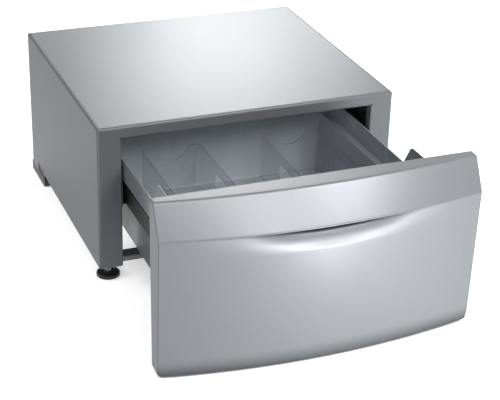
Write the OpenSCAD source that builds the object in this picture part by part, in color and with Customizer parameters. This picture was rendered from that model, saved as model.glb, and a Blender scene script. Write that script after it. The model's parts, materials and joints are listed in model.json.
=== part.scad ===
// Pedestal drawer for a washer: a folded sheet cabinet on four feet, with a bowed drawer front,
// a moulded tub on telescopic ball slides and two clear dividers.
// Millimetres, +Z up. The origin is on the floor, at the middle of the object's box
// with the drawer open by drawer_open.

/* [Cabinet] */
// Width of the cabinet and of the drawer front
cab_w = 686; // [640:1:740]
// Depth of the cabinet, from its front face to its back
cab_d = 616; // [600:1:660]
// Height of the deck above the floor
deck_h = 365; // [355:1:400]
// Height of the lower edge of the sheet metal above the floor
skirt_h = 33; // [30:1:40]
// Thickness of the sheet steel
sheet_t = 1.2; // [0.8:0.1:1.6]
// Outside radius of the cabinet's corner bends
bend_r = 5; // [4:0.5:8]
// Width of each jamb beside the drawer opening
jamb_w = 53; // [48:1:60]
// Height of the rail above the drawer opening
rail_h = 27; // [24:1:32]
// Depth of the folded returns round the drawer opening
return_d = 20; // [12:1:24]
// Outside radius of the bends at those returns
return_r = 3; // [2:0.5:5]
// Width of the rear lips of the side panels
rear_lip = 20; // [14:1:26]
// Drop of the deck's rear flange
deck_flange = 20; // [12:1:30]
// Width of the seam between the deck and the wrap
seam = 1.2; // [0.3:0.1:1.5]

/* [Cabinet frame] */
// Height of the beams under the deck
beam_h = 20; // [12:1:22]
// Width of the crown of a deck beam
beam_w = 36; // [24:1:50]
// Width of each welded foot of a deck beam
beam_foot = 12; // [8:1:20]
// Width of the lips by which a slide bracket is screwed on
bracket_lip = 16; // [12:1:20]
// Thickness of the frame parts
frame_t = 1.5; // [1:0.1:2]
// Outside radius of the bends in the frame parts
frame_r = 3; // [2.5:0.5:4]
// Width of the upper leg of a deck shelf
shelf_top = 15; // [12:1:20]
// Width of the lower leg of a deck shelf, which carries the beams
shelf_leg = 32; // [26:1:40]
// Height of the face of the front bottom rail
sill_h = 14; // [10:1:24]
// Height of that rail above the lower edge of the sheet metal
sill_lift = 8; // [4:1:14]
// Setback of that rail behind the front face
sill_set = 3; // [2:0.5:8]
// Depth of that rail's flanges
sill_d = 30; // [20:1:40]
// Height of the rear bottom rail
rear_rail_h = 25; // [18:1:34]

/* [Drawer front] */
// Height of the drawer front's top above the deck
front_rise = 11; // [4:1:20]
// Gap between the floor and the drawer front
floor_gap = 4; // [3:1:15]
// Thickness of the front at its middle, at the top edge
front_top_t = 47; // [40:1:56]
// Thickness of the front at its middle, at the crease
front_crease_t = 93; // [84:1:100]
// Thickness of the front at its middle, at the bottom edge
front_bottom_t = 78; // [70:1:90]
// How far the front bows forward between its ends
bow = 34; // [31:1:38]
// Drop from the top edge to the crease
crease_drop = 66; // [56:1:80]
// Wall of the moulded front
skin_t = 3; // [2:0.1:4]
// Rounding of the crease, and of the top and bottom front edges
edge_r = 5; // [2:0.5:8]
// Rounding of the lower corners, seen from the front
corner_r = 12; // [6:1:20]
// Height of the finger scoop below the crease
scoop_h = 47; // [36:1:52]
// Depth of the finger scoop at its middle
scoop_d = 27; // [24:1:28]
// Radius between the floor and the rear wall of the scoop
scoop_r = 20; // [10:1:24]
// Drop from the crease to the underside of the scoop's lip
scoop_lip = 3; // [2:0.5:6]
// Thickness of the stiffening ribs in the front
rib_t = 2.5; // [1.5:0.1:4]
// Pitch of those ribs
rib_pitch = 112; // [90:1:130]

/* [Drawer] */
// How far the drawer stands open here
drawer_open = 358; // [200:1:450]
// Gap left between the front and the cabinet when the drawer is shut
shut_gap = 3; // [2:0.5:6]
// Room left behind the drawer tub when the drawer is shut
tub_room = 30; // [24:1:60]
// Depth of the tub below its rim
tub_h = 196; // [150:1:200]
// Wall of the tub
tub_t = 3; // [2:0.1:4]
// Gap between the tub and the drawer opening on each side
tub_gap = 6; // [4:0.5:8]
// Width of the ledge inside the tub
ledge_w = 16; // [15:0.5:20]
// Drop from the rim to the ledge
ledge_drop = 44; // [36:1:60]
// Drop from the drawer opening's top to the tub's rim
rim_drop = 56; // [48:1:80]
// Radius of the tub's rear corners
tub_corner = 30; // [12:1:40]
// Radius along the tub's lower edges
tub_edge = 6; // [4:1:10]
// Length of the raised panel on the tub's sides
pad_l = 320; // [240:1:400]
// Height of that panel's step
pad_t = 2; // [1:0.5:3]
// Length of the ear brackets above the rim
ear_l = 140; // [90:1:150]
// Run of the slope at the ears' rear end
ear_slope = 30; // [20:1:60]
// Width of the ears' flanges on the drawer front
ear_flange = 22; // [18:1:30]
// Gap between the ears and the top of the opening
ear_gap = 6; // [2:0.5:8]
// Rounding of the ears' rear corner
ear_r = 18; // [6:1:20]

/* [Slides] */
// Height of a slide's outer member
slide_h = 54; // [50:1:58]
// Width of a slide, from the tub to its bracket
slide_w = 14; // [13:0.5:16]
// Room left behind the slides
slide_room = 44; // [40:1:90]
// Full travel of the drawer
slide_travel = 500; // [460:5:520]
// Gap between the tub's ledge and the slide
slide_drop = 8; // [4:0.5:14]
// Thickness of the slide members
slide_t = 1.2; // [1:0.1:1.4]
// Setback of the outer members behind the front face
slide_set = 22; // [21:1:40]
// Diameter of the slides' balls
ball_d = 3.4; // [2.6:0.1:3.8]
// Balls in each row of a ball cage
ball_n = 8; // [4:1:12]
// How much shorter a ball cage is than the track that its balls share at full travel
cage_room = 110; // [90:1:150]
// Thickness of a ball cage
cage_t = 0.8; // [0.6:0.1:1]
// Running gap between balls and races
ball_gap = 0.25; // [0.1:0.05:0.3]
// How deep a ball sits in the groove of each race
ball_seat = 0.3; // [0.15:0.05:0.4]
// Height of the end stop behind the middle member
stop_h = 12; // [8:1:20]

/* [Feet] */
// Diameter of the front feet's pads
pad_d = 52; // [40:1:54]
// Height of the front feet's pads
pad_h = 9; // [7:1:12]
// Diameter of the levelling studs
stud_d = 10; // [8:1:12]
// Length of the levelling studs
stud_l = 72; // [64:1:80]
// Setback of the front feet behind the front face
foot_y = 30; // [28:1:36]
// Height of the foot brackets above the lower edge of the sheet metal
plate_lift = 6; // [5:0.5:10]
// Height of the foot brackets' upright legs
foot_fold = 24; // [16:1:40]
// Height of the nuts on the levelling studs
nut_h = 6; // [4:0.5:8]
// Length of the rear feet
rear_foot_l = 120; // [90:1:140]
// Width of the rear feet
rear_foot_w = 46; // [34:1:60]
// Height of the rear feet below the side panels' rear tabs
rear_foot_h = 23; // [16:1:26]
// How far the rear feet reach behind the cabinet
foot_reach = 8; // [5:1:20]

/* [Dividers] */
// Width of a divider
divider_w = 143; // [110:1:150]
// Height of a divider
divider_h = 109; // [80:1:110]
// Length of a divider
divider_l = 380; // [260:1:420]
// Wall of a divider
divider_t = 2.5; // [1.5:0.1:4]
// Radius of a divider's rear corners
divider_r = 8; // [5:1:14]
// Gap between the left divider and the tub's left wall
divider_left_gap = 85; // [6:0.5:100]
// Gap between the right divider and the tub's right wall
divider_right_gap = 5.5; // [4:0.5:70]
// Dip of the wave in a divider's back wall
wave_dip = 33; // [20:1:44]
// Radius of the wave's dip
wave_r = 46; // [36:1:48]
// Radius of the wave's shoulders
shoulder_r = 14; // [6:1:16]
// Distance from a divider's back to the middle of its hand holes
grip_y = 165; // [120:1:200]
// Length of the hand hole in a divider's side walls
grip_l = 110; // [80:1:130]
// Height of the hand hole
grip_h = 44; // [24:1:50]
// Distance from a divider's top edge to its hand holes
grip_drop = 22; // [16:1:36]

/* [Hidden] */
$fn = 64;
eps = 0.01;
gap = 0.3;                                   // clearance between pieces set side by side
slack = 2;                                   // room between a loose or folded piece and its neighbour
half_w = cab_w / 2;
open_w = cab_w - 2 * jamb_w;                 // drawer opening
open_top = deck_h - rail_h;
deck_under = deck_h - sheet_t;
inner_x = half_w - sheet_t;                  // inner face of a side panel
inner_back = cab_d - 2 * sheet_t;            // inner face of the rear panel
face_y = -(cab_d + foot_reach - drawer_open - front_crease_t) / 2;

front_top = deck_h + front_rise;
crease_z = front_top - crease_drop;
bow_r = (half_w * half_w + bow * bow) / (2 * bow);
bow_y = bow_r - front_crease_t;              // axis of the bow, behind the back of the front
plate_t = 1.5;                               // backing plate of the front
boss_d = 10;
screw_d = 3.5;                               // self-tapping screws
screw_l = 12;
pilot_d = screw_d + 0.1;                     // holes that those screws are driven into
hole_d = screw_d + 0.3;                      // holes that they and the rivets pass through
rivet_d = 3.6;
washer_d = 9;                                // hexagon screws of the cabinet, with a washer face
washer_t = 0.8;
bolt_af = 7;
bolt_h = 3.5;
bumper_d = 14;
bumper_low = skirt_h + 40;                   // heights of the bumpers
bumper_high = deck_h - 45;

tub_x = open_w / 2 - tub_gap;                // outer face of the tub above the ledge
wall_x = tub_x - ledge_w;                    // outer face of the tub below the ledge
rim_z = open_top - rim_drop;
tub_z = rim_z - tub_h;
ledge_z = rim_z - ledge_drop;
ear_t = 1.5;
ear_top = open_top - ear_gap;
tub_l = cab_d - shut_gap - tub_room;
divider_back = tub_l - tub_edge - 1;         // back of a divider, clear of the tub's rounded edge
divider_left_x = -(wall_x - tub_t) + divider_left_gap + divider_w / 2;
divider_right_x = wall_x - tub_t - divider_right_gap - divider_w / 2;
tub_front_r = 2;                             // radius of the tub's front corners

slide_z = ledge_z - tub_t - slide_drop - slide_h / 2;
web_x = wall_x + slide_w;                    // outer face of the outer slide members
member_r = 1.8;                              // outside radius of a member's bends
groove_r = ball_d / 2 + ball_gap;            // radius of a race's groove
race = 2 * (groove_r - ball_seat);           // space between two flanges that share a row of balls
middle_h = slide_h - 2 * slide_t - 2 * race;
inner_h = middle_h - 2 * slide_t - 2 * race;
cage_gap = 0.5;                              // room beside a cage's web
middle_x = web_x - slide_t - 2 * cage_gap - cage_t;
row_outer_z = (middle_h + race) / 2;         // rows of balls, above and below the slide's middle
row_inner_z = (inner_h + race) / 2;
flange_gap = 1.5;                            // members stay this far from the tub's wall
cage_set = 1.9;                              // and the cages this far
ball_rim = 0.6;                              // metal beside the balls at a cage's open edge
cage_outer_h = middle_h + race + cage_t;
cage_inner_h = inner_h + race + cage_t;
inner_depth = middle_x - slide_t - 2 * cage_gap - cage_t - wall_x;
rest_travel = drawer_open - shut_gap;        // the drawer's travel from shut to here
row_outer_x = middle_x - member_r - groove_r; // just inside the middle member's bends
row_inner_x = wall_x + cage_set + ball_rim + (ball_d + ball_gap) / 2;
stop_l = 4;                                  // thickness of the end stop along the slide
middle_short = 10;                           // the middle member ends this far before the outer one
inner_short = 12;                            // and the inner member this far
slide_l = cab_d - slide_set - slide_room;
member_back = slide_set + slide_l;
cage_l = slide_l - slide_travel / 2 - cage_room;
cage_y = (slide_set + member_back - cage_l) / 2;
inner_lead = 8;                              // the inner member starts this far ahead of the others
rivet_inset = 30;                            // end rivets, from the ends of a member
bolt_inset = 20;                             // nuts of the slide brackets, from their ends
screw_inset = 40;                            // end screws, from the ends of a member
bracket_rise = 4;                            // a bracket's face stands this far above and below its slide

foot_x = half_w - jamb_w / 2;
plate_z = skirt_h + plate_lift;
foot_plate_t = 2.5;
hub_rise = 3;                                // the hub of a foot pad stands this far above the pad
nut_af = 1.7 * stud_d;                       // across the flats
rear_tab = skirt_h - rear_foot_h;
notch_l = 52;                                // notch ahead of the side panels' rear tabs
notch_h = 10;
foot_wall = 4;                               // walls of the rear feet, which are hollow from below
foot_cells = 3;
rear_screw_low = plate_z + rear_rail_h + 20; // lowest and highest screws of the rear panel
rear_screw_high = deck_h - deck_flange - 30;
rest_gap = 0.1;                              // clearance under a divider

// ---- helpers

// Places a piece by its distance behind the cabinet's front face
module in_cabinet() { translate([0, face_y, 0]) children(); }

// Places a piece by its distance behind the back of the drawer front
module in_drawer() { translate([0, face_y - drawer_open, 0]) children(); }

// Turns a piece made for the right side into the left one
module left() { mirror([1, 0, 0]) children(); }

// Extrudes a section drawn in X and Z along Y, from y0 to y1
module along_y(y0, y1) { translate([0, y1, 0]) rotate([90, 0, 0]) linear_extrude(y1 - y0) children(); }

// Extrudes a section drawn in Y and Z along X, from x0 to x1
module along_x(x0, x1) { translate([x0, 0, 0]) rotate([90, 0, 90]) linear_extrude(x1 - x0) children(); }

// The quarter ring of one bend
module bend(r, t) {
    intersection() {
        difference() { circle(r); circle(r - t); }
        square(r);
    }
}

// A folded strip seen edge on. Each leg is [length, turn, radius]: turn is 1 to the left,
// -1 to the right and 0 at the end, and radius is the outside radius of the bend.
module strip(legs, t, i = 0) {
    run = legs[i][0];
    turn = legs[i][1];
    r = legs[i][2];
    if (run > 0) square([run, t]);
    if (turn > 0) translate([run, r]) {
        mirror([0, 1]) bend(r, t);
        translate([r, 0]) rotate(90) strip(legs, t, i + 1);
    }
    if (turn < 0) translate([run, t - r]) {
        bend(r, t);
        translate([r - t, 0]) rotate(-90) strip(legs, t, i + 1);
    }
}

// A channel that opens towards -X, its web's outer face at 0
module channel(depth, height, t, r) {
    translate([-depth, height / 2 - t])
        strip([[depth - r, -1, r], [height - 2 * r, -1, r], [depth - r, 0, 0]], t);
}

function unit(v) = v / norm(v);

// A convex polygon whose corners are rounded by true arcs of the given radii
module rounded(points, radii) {
    n = len(points);
    cuts = [for (i = [0:n - 1])
        let (p = points[i], a = unit(points[(i + n - 1) % n] - p), b = unit(points[(i + 1) % n] - p),
             half = acos(a * b) / 2, reach = radii[i] / tan(half))
        [p + a * reach, p + b * reach, p + unit(a + b) * radii[i] / sin(half)]];
    polygon([for (i = [0:n - 1]) each radii[i] > 0 ? [cuts[i][0], cuts[i][1]] : [points[i]]]);
    for (i = [0:n - 1]) if (radii[i] > 0) translate(cuts[i][2]) circle(radii[i]);
}

module hexagon(af) { circle(d = af / cos(30), $fn = 6); }

// ---- cabinet

function side_legs() = [[rear_lip - bend_r, -1, bend_r], [cab_d - 2 * bend_r, -1, bend_r]];

module side_panel() {
    start = [half_w - rear_lip, cab_d - sheet_t];
    below = concat(side_legs(), [[jamb_w - bend_r - return_r, -1, return_r], [return_d - return_r, 0, 0]]);
    above = concat(side_legs(), [[jamb_w - bend_r, 0, 0]]);
    bend_z = deck_h - bend_r;
    difference() {
        union() {
            translate([0, 0, skirt_h]) linear_extrude(open_top - skirt_h)
                translate(start) strip(below, sheet_t);
            translate([0, 0, open_top]) linear_extrude(bend_z - open_top)
                translate(start) strip(above, sheet_t);
            along_y(bend_r, cab_d - bend_r) translate([half_w - bend_r, bend_z]) bend(bend_r, sheet_t);
            along_x(open_w / 2, half_w - bend_r) translate([bend_r, bend_z])
                mirror([1, 0]) bend(bend_r, sheet_t);
            for (y = [bend_r, cab_d - bend_r]) translate([half_w - bend_r, y, bend_z])
                rotate(y == bend_r ? -90 : 0) rotate_extrude(angle = 90) bend(bend_r, sheet_t);
            // the rear tab reaches down to the rear foot
            translate([inner_x, cab_d - rear_foot_l / 2, rear_foot_h])
                cube([sheet_t, rear_foot_l / 2 - bend_r, rear_tab]);
        }
        // the deck's rear flange lies in this gap
        translate([half_w - rear_lip - 1, inner_back, deck_h - deck_flange - seam])
            cube([rear_lip - bend_r + 1, 3 * sheet_t, deck_flange]);
        // the notch in front of the rear tab, where the foot shows
        translate([inner_x - 1, cab_d - rear_foot_l / 2 - notch_l, skirt_h - 1])
            cube([sheet_t + 2, notch_l, notch_h + 1]);
        // the relief cut at the opening's upper corner
        translate([open_w / 2 - 1, -1, open_top - 1]) cube([return_r + 1, sheet_t + 2, return_r + 1]);
        rear_screw_holes(1);
    }
}

// Holes through the rear lip and the rear panel, on side s
module rear_screw_holes(s) {
    for (z = rear_screw_heights()) translate([s * rear_screw_x(), inner_back - 1, z])
        rotate([-90, 0, 0]) cylinder(d = hole_d, h = 2 * sheet_t + 2);
}

module left_side_panel() { color("silver") in_cabinet() left() side_panel(); }
module right_side_panel() { color("silver") in_cabinet() side_panel(); }

module front_top_rail() {
    legs = [[0, 1, bend_r], [rail_h - bend_r - return_r, 1, return_r], [return_d - return_r, 0, 0]];
    color("silver") in_cabinet() along_x(-open_w / 2, open_w / 2) translate([bend_r, deck_h])
        rotate(180) strip(legs, sheet_t);
}

module top_panel() {
    x = half_w - bend_r - seam;
    color("gainsboro") in_cabinet() along_x(-x, x) translate([bend_r + seam, deck_under])
        strip([[cab_d - 2 * bend_r - seam, -1, bend_r], [deck_flange - bend_r, 0, 0]], sheet_t);
}

module rear_panel() {
    x = half_w - bend_r;
    z = plate_z + gap;
    color("darkgray") in_cabinet() difference() {
        translate([-x, inner_back, z]) cube([2 * x, sheet_t, deck_h - bend_r - z]);
        rear_screw_holes(1);
        rear_screw_holes(-1);
    }
}

module front_bottom_rail() {
    z = skirt_h + sill_lift;
    color("gray") in_cabinet() along_x(-open_w / 2, open_w / 2) translate([sill_set + sill_d, z + frame_t])
        rotate(180) strip([[sill_d - frame_r, -1, frame_r], [sill_h - 2 * frame_r, -1, frame_r],
                           [sill_d - frame_r, 0, 0]], frame_t);
}

module rear_bottom_rail() {
    x = half_w - rear_foot_w;
    color("gray") in_cabinet() along_x(-x, x) translate([inner_back, plate_z + rear_rail_h / 2])
        channel(sill_d, rear_rail_h, frame_t, frame_r);
}

module deck_shelf() {
    r = bend_r - sheet_t + gap;
    legs = [[shelf_top - r, -1, r], [beam_h + frame_t - 2 * r, -1, r], [shelf_leg - r, 0, 0]];
    color("darkgray") in_cabinet() along_y(return_d + slack, cab_d - bend_r)
        translate([inner_x - shelf_top, deck_under - frame_t]) strip(legs, frame_t);
}

module deck_shelf_left() { left() deck_shelf(); }
module deck_shelf_right() { deck_shelf(); }

// A hat-section beam: its feet lie under the deck and its crown on the shelves' lower legs
module deck_beam(y) {
    x = inner_x - shelf_top - gap;
    web = beam_h - 2 * frame_r;
    width = beam_w + 2 * beam_foot;
    foot = beam_foot + frame_t - frame_r;
    legs = [[foot, -1, frame_r], [web, 1, frame_r], [beam_w - 2 * frame_r, 1, frame_r],
            [web, -1, frame_r], [foot, 0, 0]];
    color("darkgray") in_cabinet() along_x(-x, x) translate([y - width / 2, deck_under - frame_t])
        strip(legs, frame_t);
}

function beam_y(i) = let (first = return_d + slack + beam_w / 2 + beam_foot, last = inner_back - first)
    first + (last - first) * i / 2;

module deck_beam_front() { deck_beam(beam_y(0)); }
module deck_beam_middle() { deck_beam(beam_y(1)); }
module deck_beam_rear() { deck_beam(beam_y(2)); }

// ---- feet

// The rear foot: a block under the rear tab, with a tongue inside the side panel
module rear_foot() {
    x0 = half_w - rear_foot_w;
    y0 = cab_d - rear_foot_l;
    y1 = cab_d + foot_reach;
    tongue_h = plate_z + rear_rail_h - rear_foot_h;
    color([0.12, 0.12, 0.13]) in_cabinet() difference() {
        union() {
            along_x(x0, half_w) rounded([[y0, 0], [y1, 0], [y1, rear_foot_h], [y0, rear_foot_h]],
                                        [rear_foot_h / 2, 2, 2, rear_foot_h / 4]);
            translate([x0, y0 + rear_foot_h / 4, rear_foot_h - eps])
                cube([rear_foot_w - sheet_t, rear_foot_l - rear_foot_h / 4 - bend_r, tongue_h + eps]);
        }
        // hollow from below, with cross ribs left standing
        first = y0 + rear_foot_h / 2;
        pitch = (y1 - foot_wall - first) / foot_cells;
        for (i = [0:foot_cells - 1]) translate([x0 + foot_wall, first + i * pitch, -1])
            cube([rear_foot_w - 2 * foot_wall, pitch - foot_wall, rear_foot_h / 2 + 1]);
    }
}

module rear_foot_left() { left() rear_foot(); }
module rear_foot_right() { rear_foot(); }

// The plate inside each front corner, folded up along the side panel and the jamb
module foot_bracket() {
    x0 = open_w / 2 + return_r;
    len_y = 2 * foot_y;
    color("gray") in_cabinet() difference() {
        union() {
            translate([x0, sheet_t, plate_z]) cube([inner_x - x0, len_y, foot_plate_t]);
            translate([inner_x - foot_plate_t, sheet_t, plate_z]) cube([foot_plate_t, len_y, foot_fold]);
            translate([x0, sheet_t, plate_z]) cube([inner_x - x0, foot_plate_t, foot_fold]);
        }
        translate([foot_x, foot_y, plate_z - 1]) cylinder(d = stud_d + 0.2, h = foot_plate_t + 2);
        // room for the bend of the corner
        translate([inner_x, sheet_t, plate_z - 1]) rotate(45)
            cube([1.2 * bend_r, 1.2 * bend_r, 3 * foot_fold], center = true);
    }
}

module foot_bracket_left() { left() foot_bracket(); }
module foot_bracket_right() { foot_bracket(); }

module nut(z) {
    translate([foot_x, foot_y, z]) difference() {
        linear_extrude(nut_h) hexagon(nut_af);
        translate([0, 0, -1]) cylinder(d = stud_d + 0.1, h = nut_h + 2);
    }
}

module foot_weld_nuts() {
    color("dimgray") in_cabinet() { nut(plate_z + foot_plate_t); left() nut(plate_z + foot_plate_t); }
}

module foot_lock_nuts() {
    color("lightgray") in_cabinet() { nut(plate_z - nut_h); left() nut(plate_z - nut_h); }
}

// A levelling stud with its adjusting hexagon above the pad
module levelling_stud() {
    color("lightgray") in_cabinet() translate([foot_x, foot_y, 0]) {
        translate([0, 0, pad_h / 2]) cylinder(d = stud_d, h = stud_l);
        translate([0, 0, pad_h + hub_rise]) linear_extrude(nut_h) hexagon(1.4 * stud_d);
        translate([0, 0, pad_h / 2 + stud_l - eps]) cylinder(d1 = stud_d, d2 = stud_d - 2, h = 1);
    }
}

module levelling_stud_left() { left() levelling_stud(); }
module levelling_stud_right() { levelling_stud(); }

// A moulded foot pad: a rounded disc with a raised hub that holds the stud
module foot_pad() {
    hub = 1.2 * stud_d;
    color([0.1, 0.1, 0.1]) in_cabinet() translate([foot_x, foot_y, 0]) rotate_extrude() difference() {
        union() {
            rounded([[0, 0], [pad_d / 2, 0], [pad_d / 2, pad_h - 1], [hub, pad_h + 1], [0, pad_h + 1]],
                    [0, 2, 2.5, 0, 0]);
            square([hub, pad_h + hub_rise]);
        }
        translate([0, pad_h / 2]) square([stud_d / 2, pad_h + hub_rise]);
        translate([0, -1]) square([pad_d / 4, 2]);
    }
}

module foot_pad_left() { left() foot_pad(); }
module foot_pad_right() { foot_pad(); }

// ---- drawer front

// Outline of the front seen along Y, drawn in by inset
module front_outline(inset) {
    x = half_w - inset;
    z0 = floor_gap + inset;
    z1 = front_top - inset;
    low = max(corner_r - inset, 1);
    rounded([[-x, z0], [x, z0], [x, z1], [-x, z1]], [low, low, 2, 2]);
}

// Section of the front through its middle: distance from the bow's axis, and height
module front_section(inset) {
    back = bow_y - 2 * skin_t;
    r = max(edge_r - inset, 1);
    rounded([[back, floor_gap + inset], [bow_y + front_bottom_t - inset, floor_gap + inset],
             [bow_y + front_crease_t - inset, crease_z], [bow_y + front_top_t - inset, front_top - inset],
             [back, front_top - inset]],
            [0, r, r, r, 0]);
}

// The bowed body: the section turned about the bow's axis, within the outline seen from the front
module front_body(inset) {
    turn = asin(half_w / bow_y) + 2;
    intersection() {
        translate([0, bow_y, 0]) rotate(-90 - turn)
            rotate_extrude(angle = 2 * turn, $fn = 180) front_section(inset);
        along_y(-2 * front_crease_t, inset > 0 ? 1 : 0) front_outline(inset);
    }
}

// The finger scoop, a straight groove with a round rear corner. Its ends fade out by themselves
// where the bowed face falls back past the groove's rear wall.
module scoop(grow) {
    depth = scoop_d + grow;
    low = crease_z - scoop_h - grow;
    high = crease_z - scoop_lip + grow;
    along_x(-half_w + corner_r, half_w - corner_r) translate([-front_crease_t, 0])
        rounded([[-depth, low], [depth, low], [depth, high], [-depth, high]], [0, scoop_r + grow, 0, 0]);
}

front_screw_z = [rim_z - ledge_drop / 2, tub_z + tub_h / 3];
ear_screw_x = tub_x - tub_t - ear_flange / 2;
ear_screw_z = (rim_z + ear_top) / 2;
function front_screw_x() = [for (i = [-1, 1]) i * 2 * rib_pitch];

module front_fixings() {
    for (x = front_screw_x(), z = front_screw_z) translate([x, 0, z]) rotate([90, 0, 0]) children();
    for (s = [-1, 1]) translate([s * ear_screw_x, 0, ear_screw_z]) rotate([90, 0, 0]) children();
}

module drawer_front() {
    color("silver") in_drawer() difference() {
        front_body(0);
        difference() {
            front_body(skin_t);
            scoop(skin_t);
            // stiffening ribs, and bosses for the screws
            for (i = [-2:2]) translate([i * rib_pitch - rib_t / 2 + (abs(i) == 2 ? sign(i) * boss_d : 0),
                                        -2 * front_crease_t, 0])
                cube([rib_t, 2 * front_crease_t - plate_t, front_top]);
            front_fixings() translate([0, 0, plate_t]) cylinder(d = boss_d, h = 2 * front_crease_t);
        }
        scoop(0);
        front_fixings() translate([0, 0, -1]) cylinder(d = pilot_d, h = screw_l + slack);
    }
}

module front_backing_plate() {
    color("darkgray") in_drawer() difference() {
        along_y(-plate_t, 0) front_outline(skin_t + gap);
        front_fixings() translate([0, 0, -1]) cylinder(d = hole_d, h = plate_t + 2);
    }
}

module front_screws() {
    color("gray") in_drawer() {
        for (x = front_screw_x(), z = front_screw_z) translate([x, tub_t, z]) rotate([90, 0, 0])
            screw(screw_d, screw_l);
        for (s = [-1, 1]) translate([s * ear_screw_x, ear_t, ear_screw_z]) rotate([90, 0, 0])
            screw(screw_d, screw_l);
    }
}

// A pan-head screw: its head below the origin, its shank along +Z
module screw(d, l) {
    cylinder(d = d, h = l);
    translate([0, 0, -0.6 * d]) cylinder(d1 = 1.6 * d, d2 = 2 * d, h = 0.6 * d);
}

module front_bumpers() {
    bumper_h = shut_gap - 0.2;
    color([0.2, 0.2, 0.2]) in_drawer() for (s = [-1, 1], z = [bumper_low, bumper_high])
        translate([s * (half_w - jamb_w / 2), 0, z]) rotate([-90, 0, 0]) {
            cylinder(d = bumper_d, h = bumper_h / 2);
            translate([0, 0, bumper_h / 2]) cylinder(d1 = bumper_d, d2 = bumper_d * 2 / 3, h = bumper_h / 2);
        }
}

// ---- drawer tub

// Section of the tub in X and Z, drawn in by inset
module tub_section(inset, top) {
    x = wall_x - inset;
    rounded([[-x, tub_z + inset], [x, tub_z + inset], [x, top], [-x, top]],
            [tub_edge - inset, tub_edge - inset, 0, 0]);
    translate([-tub_x + inset, ledge_z - tub_t + inset])
        square([2 * (tub_x - inset), top - ledge_z + tub_t - inset]);
}

// Plan of the tub, drawn in by inset, with round rear corners
module tub_plan(inset) {
    x = tub_x - inset;
    rounded([[-x, inset], [x, inset], [x, tub_l - inset], [-x, tub_l - inset]],
            [tub_front_r, tub_front_r, tub_corner - inset, tub_corner - inset]);
}

// Section of the tub in Y and Z, with a round lower rear edge
module tub_side(inset, top) {
    rounded([[inset, tub_z + inset], [tub_l - inset, tub_z + inset], [tub_l - inset, top], [inset, top]],
            [0, tub_edge - inset, 0, 0]);
}

module tub_body(inset, top) {
    intersection() {
        along_y(0, tub_l) tub_section(inset, top);
        linear_extrude(rim_z + 2) tub_plan(inset);
        along_x(-tub_x, tub_x) tub_side(inset, top);
    }
}

module drawer_tub() {
    pad_z0 = tub_z + tub_edge;
    pad_z1 = slide_z - slide_h / 2 - 2;
    color([0.62, 0.66, 0.7]) in_drawer() difference() {
        union() {
            tub_body(0, rim_z);
            for (s = [-1, 1]) translate([s * wall_x - (s > 0 ? eps : pad_t), 0, pad_z0])
                cube([pad_t + eps, pad_l, pad_z1 - pad_z0]);
        }
        tub_body(tub_t, rim_z + 1);
        front_fixings() translate([0, 0, -tub_t - 1]) cylinder(d = hole_d, h = tub_t + 2);
        for (s = [-1, 1], y = slide_screw_y()) translate([s * (wall_x - tub_t / 2), y, slide_z])
            rotate([0, 90, 0]) cylinder(d = pilot_d, h = 2 * tub_t, center = true);
    }
}

// An ear bracket: a plate inside the tub's upper wall that stands up above the rim,
// with a flange on the back of the drawer front
module ear_bracket() {
    x1 = tub_x - tub_t;
    back = ear_l + ear_slope;
    ear_start = tub_t + tub_front_r;
    color([0.62, 0.66, 0.7]) in_drawer() {
        along_x(x1 - ear_t, x1) {
            rounded([[0, rim_z + gap], [back, rim_z + gap], [ear_l, ear_top], [0, ear_top]],
                    [0, 0, ear_r, 0]);
            translate([ear_start, ledge_z + gap]) square([back - ear_start, ledge_drop + eps]);
        }
        translate([x1 - ear_flange, 0, rim_z + gap]) difference() {
            cube([ear_flange, ear_t, ear_top - rim_z - gap - ear_r / 2]);
            translate([ear_flange / 2, -1, (ear_top - rim_z) / 2 - gap]) rotate([-90, 0, 0])
                cylinder(d = hole_d, h = ear_t + 2);
        }
    }
}

module ear_bracket_left() { left() ear_bracket(); }
module ear_bracket_right() { ear_bracket(); }

// ---- slides

// The bracket that carries a slide: a hat section between the side panel and the slide
module slide_bracket() {
    reach = inner_x - 2 * frame_r - web_x;
    web = slide_h + 2 * bracket_rise - 2 * frame_r;
    top = slide_z + slide_h / 2 + bracket_rise + bracket_lip;
    color("gray") in_cabinet() difference() {
        along_y(slide_set, member_back) translate([inner_x - frame_t, top]) rotate(-90)
            strip([[bracket_lip, -1, frame_r], [reach, 1, frame_r], [web, 1, frame_r], [reach, -1, frame_r],
                   [bracket_lip - frame_t, 0, 0]], frame_t);
        for (y = rivet_y()) translate([web_x + frame_t / 2, y, slide_z]) rotate([0, 90, 0])
            cylinder(d = hole_d, h = 2 * frame_t, center = true);
        for (at = bracket_nut_places()) translate([inner_x, at[0], at[1]]) rotate([0, 90, 0])
            cylinder(d = hole_d, h = 4 * frame_t, center = true);
    }
}

module slide_bracket_left() { left() slide_bracket(); }
module slide_bracket_right() { slide_bracket(); }

function rivet_y() = [for (i = [0:3]) slide_set + rivet_inset + i * (slide_l - 2 * rivet_inset) / 3];
function slide_screw_y() = [for (i = [0:3]) slide_set + screw_inset + i * (slide_l - 2 * screw_inset) / 3];

// A race rolled into both flanges of a slide member, for a row of balls at [x, z]. side is 1
// where the flange lies outside the row, and -1 where it lies inside.
module race_seat(x, z, side) {
    for (s = [-1, 1]) translate([x, s * z]) intersection() {
        circle(groove_r + slide_t);
        translate([-groove_r, s * side > 0 ? race / 2 : -race / 2 - 2 * groove_r])
            square(2 * groove_r);
    }
}

module race_groove(x, z) { for (s = [-1, 1]) translate([x, s * z]) circle(groove_r); }

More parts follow.
